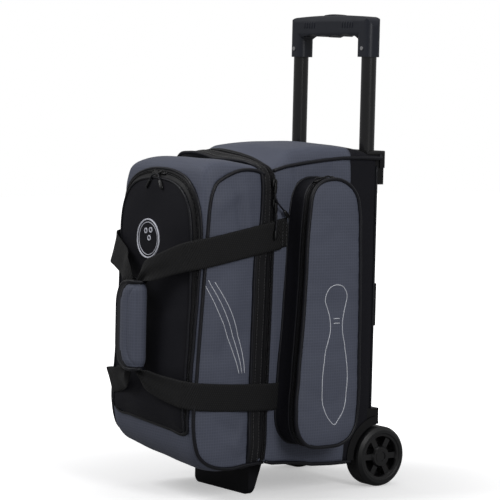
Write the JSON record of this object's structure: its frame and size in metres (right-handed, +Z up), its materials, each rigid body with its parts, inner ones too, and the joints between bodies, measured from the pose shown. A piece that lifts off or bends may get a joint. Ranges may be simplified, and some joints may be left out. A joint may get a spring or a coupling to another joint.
{
  "type": "bowling ball bag",
  "caption": "Upright wheeled bag that carries bowling balls stacked, with zipped lid, side pockets, wrapped carry loops and a telescopic tow handle.",
  "frame": {"origin": "on the floor at the middle of the footprint, midway between the carry wrap's front and the wheels' rearmost points", "axes": "+Z up, -Y towards the front pocket and carry wrap, +Y towards the tow handle, +X towards the right accessory pocket"},
  "size_m": [0.368, 0.52, 0.845],
  "materials": {
    "grey_fabric": "matte ripstop weave",
    "black_fabric": "matte woven",
    "webbing": "twill webbing",
    "wrap_fabric": "padded ripstop with bound edges",
    "zip_tape": "coated zip tape",
    "slider_metal": "black lacquer",
    "foam": "foam with knit face",
    "board": "board",
    "black_plastic": "moulded, fine texture",
    "grip_plastic": "moulded satin",
    "tube_metal": "gloss black",
    "steel": "plain steel",
    "tyre": "smooth satin",
    "bush_plastic": "acetal"
  },
  "bodies": {
    "root": {"main_shell": "grey_fabric", "zip_band_rear": "zip_tape", "back_shell": "black_fabric", "base_board": "board", "foam_base": "foam", "foam_divider": "foam", "front_foot": "black_plastic", "foot_screws": "steel", "wheel_housing_right": "black_plastic", "wheel_housing_left": "black_plastic", "wheel_axle_right": "steel", "wheel_axle_left": "steel", "guide_tube_right": "tube_metal", "guide_tube_left": "tube_metal", "tube_top_housing": "black_plastic", "back_skid_right": "black_plastic", "back_skid_left": "black_plastic", "pocket_gusset_right": "black_fabric", "pocket_gusset_left": "black_fabric", "pocket_zip_right": "zip_tape", "pocket_zip_left": "zip_tape", "pocket_slider_right": "slider_metal", "pocket_slider_left": "slider_metal", "strap_tabs": "webbing"},
    "lid": {"lid_shell": "grey_fabric", "zip_band_front": "zip_tape", "front_pocket_panel": "black_fabric", "front_pocket_zip": "zip_tape", "front_pocket_sliders": "slider_metal"},
    "loop_right": {"carry_strap_right": "webbing", "carry_wrap": "wrap_fabric"},
    "loop_left": {"carry_strap_left": "webbing"},
    "flap_right": {"pocket_flap_right": "grey_fabric"},
    "flap_left": {"pocket_flap_left": "grey_fabric"},
    "slider_upper": {"zip_slider_upper": "slider_metal"},
    "slider_lower": {"zip_slider_lower": "slider_metal"},
    "tow_handle": {"tow_grip": "grip_plastic", "grip_rivets": "steel", "tow_tube_right": "tube_metal", "tow_tube_left": "tube_metal", "tube_plugs": "black_plastic"},
    "release": {"release_button": "grip_plastic", "release_link": "steel"},
    "lock_pins": {"lock_pins": "steel"},
    "wheel_right": {"wheel_tyre_right": "tyre", "wheel_hub_right": "black_plastic", "wheel_bush_right": "bush_plastic", "wheel_cap_right": "black_plastic"},
    "wheel_left": {"wheel_tyre_left": "tyre", "wheel_hub_left": "black_plastic", "wheel_bush_left": "bush_plastic", "wheel_cap_left": "black_plastic"}
  },
  "joints": [
    {"name": "lid_hinge", "type": "hinge", "parent": "root", "child": "lid", "pos_m": [0, -0.053, 0.062], "axis": [1, 0, 0], "range_deg": [0, 28]},
    {"name": "loop_right_swing", "type": "hinge", "parent": "root", "child": "loop_right", "pos_m": [0.1285, -0.034, 0.3], "axis": [0, 0, 1], "range_deg": [0, 85]},
    {"name": "loop_left_swing", "type": "hinge", "parent": "root", "child": "loop_left", "pos_m": [-0.1285, -0.034, 0.3], "axis": [0, 0, -1], "range_deg": [0, 85]},
    {"name": "flap_right_hinge", "type": "hinge", "parent": "root", "child": "flap_right", "pos_m": [0.169, 0.1065, 0.3], "axis": [0, 0, 1], "range_deg": [0, 95]},
    {"name": "flap_left_hinge", "type": "hinge", "parent": "root", "child": "flap_left", "pos_m": [-0.169, 0.1065, 0.3], "axis": [0, 0, -1], "range_deg": [0, 95]},
    {"name": "slider_upper_run", "type": "slide", "parent": "root", "child": "slider_upper", "axis": [0, -0.035, -0.9994], "range_m": [0, 0.005]},
    {"name": "slider_lower_run", "type": "slide", "parent": "root", "child": "slider_lower", "axis": [0, -0.035, -0.9994], "range_m": [0, 0.4], "deforming": ["carry_strap_right"]},
    {"name": "tow_slide", "type": "slide", "parent": "root", "child": "tow_handle", "axis": [0, 0, 1], "range_m": [-0.165, 0.17]},
    {"name": "release_press", "type": "slide", "parent": "tow_handle", "child": "release", "axis": [0, 0, -1], "range_m": [0, 0.004]},
    {"name": "lock_pin_draw", "type": "slide", "parent": "tow_handle", "child": "lock_pins", "axis": [0, -1, 0], "range_m": [0, 0.002]},
    {"name": "wheel_right_spin", "type": "hinge", "parent": "root", "child": "wheel_right", "pos_m": [0, 0.206, 0.054], "axis": [1, 0, 0], "continuous": true},
    {"name": "wheel_left_spin", "type": "hinge", "parent": "root", "child": "wheel_left", "pos_m": [0, 0.206, 0.054], "axis": [1, 0, 0], "continuous": true}
  ],
  "couplings": [
    {"joint": "loop_right_swing", "follows": "lid_hinge", "ratio": 3},
    {"joint": "loop_left_swing", "follows": "lid_hinge", "ratio": 3},
    {"joint": "lock_pin_draw", "follows": "release_press", "ratio": 0.5}
  ]
}
